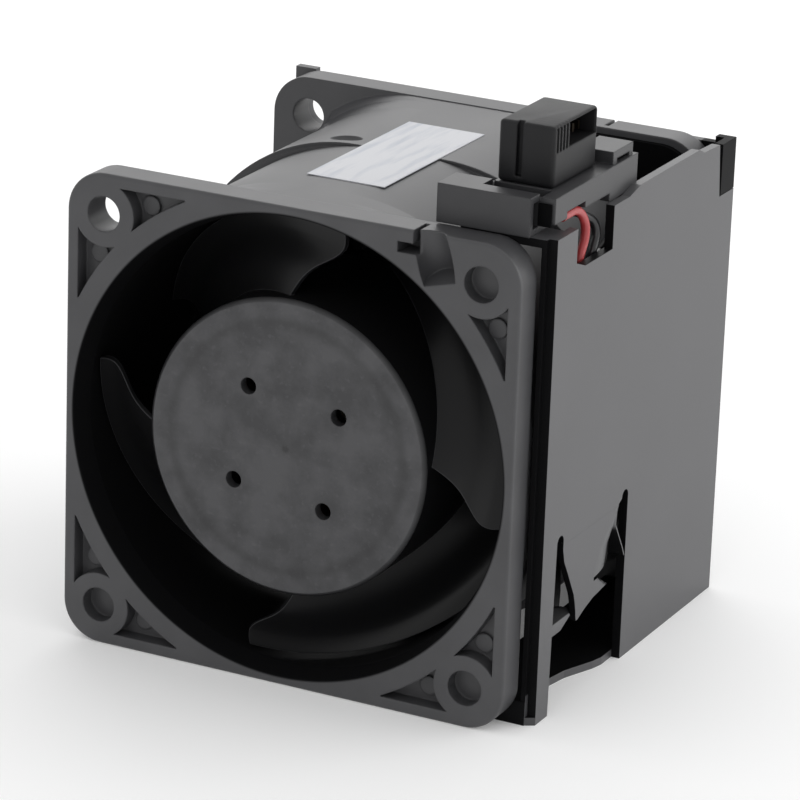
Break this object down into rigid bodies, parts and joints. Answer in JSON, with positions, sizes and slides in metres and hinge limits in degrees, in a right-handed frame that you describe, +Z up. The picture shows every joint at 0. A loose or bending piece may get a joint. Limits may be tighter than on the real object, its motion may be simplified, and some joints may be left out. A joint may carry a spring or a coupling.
{
  "type": "server fan module",
  "caption": "Square counter-rotating duct fan with a side carrier, a springy latch finger and a blind-mate connector on a bracket over its upper edge.",
  "frame": {"origin": "on the fan axis, in the plane of the inlet flange's face", "axes": "+Y along the duct from inlet to outlet, +Z up towards the connector, +X towards the carrier wall"},
  "size_m": [0.0621, 0.0572, 0.072],
  "materials": {
    "housing_plastic": "fine satin",
    "impeller_plastic": "satin",
    "carrier_plastic": "fine texture",
    "black_plastic": "satin",
    "bracket_plastic": "satin",
    "connector_plastic": "satin",
    "contact_brass": "gold plated",
    "brass": "turned",
    "bearing_steel": "ground",
    "core_steel": "laminated",
    "cup_steel": "drawn",
    "magnet_rubber": "matt",
    "insulator_plastic": "satin",
    "copper_wire": "enamelled",
    "board_laminate": "solder mask",
    "red_insulation": "smooth",
    "black_insulation": "smooth",
    "label_film": "matt"
  },
  "bodies": {
    "frame": {"front_housing": "housing_plastic", "front_bearing_tube": "brass", "front_outer_races": "bearing_steel", "front_stator_core": "core_steel", "front_stator_insulators": "insulator_plastic", "front_windings": "copper_wire", "front_circuit_board": "board_laminate", "rear_housing": "housing_plastic", "rear_bearing_tube": "brass", "rear_outer_races": "bearing_steel", "rear_stator_core": "core_steel", "rear_stator_insulators": "insulator_plastic", "rear_windings": "copper_wire", "rear_circuit_board": "board_laminate", "carrier": "carrier_plastic", "outlet_frame": "black_plastic", "connector_bracket": "bracket_plastic", "connector_housing": "connector_plastic", "connector_contacts": "contact_brass", "front_supply_lead": "red_insulation", "front_return_lead": "black_insulation", "rear_supply_lead": "red_insulation", "rear_return_lead": "black_insulation", "label": "label_film"},
    "front_rotor": {"front_impeller": "impeller_plastic", "front_rotor_cup": "cup_steel", "front_magnet_ring": "magnet_rubber", "front_shaft": "bearing_steel", "front_inner_races": "bearing_steel", "front_shaft_clip": "insulator_plastic", "front_preload_washer": "bearing_steel"},
    "rear_rotor": {"rear_impeller": "impeller_plastic", "rear_rotor_cup": "cup_steel", "rear_magnet_ring": "magnet_rubber", "rear_shaft": "bearing_steel", "rear_inner_races": "bearing_steel", "rear_shaft_clip": "insulator_plastic", "rear_preload_washer": "bearing_steel"},
    "latch": {"latch_finger": "carrier_plastic"}
  },
  "joints": [
    {"name": "front_rotor_spin", "type": "hinge", "parent": "frame", "child": "front_rotor", "pos_m": [0, 0.0137, 0], "axis": [0, 1, 0], "continuous": true},
    {"name": "rear_rotor_spin", "type": "hinge", "parent": "frame", "child": "rear_rotor", "pos_m": [0, 0.0423, 0], "axis": [0, 1, 0], "continuous": true},
    {"name": "latch_flex", "type": "hinge", "parent": "frame", "child": "latch", "pos_m": [0.03155, 0.0185, -0.009], "axis": [0, 1, 0], "range_deg": [0, 8], "stiffness_Nm_per_rad": 0.15}
  ]
}
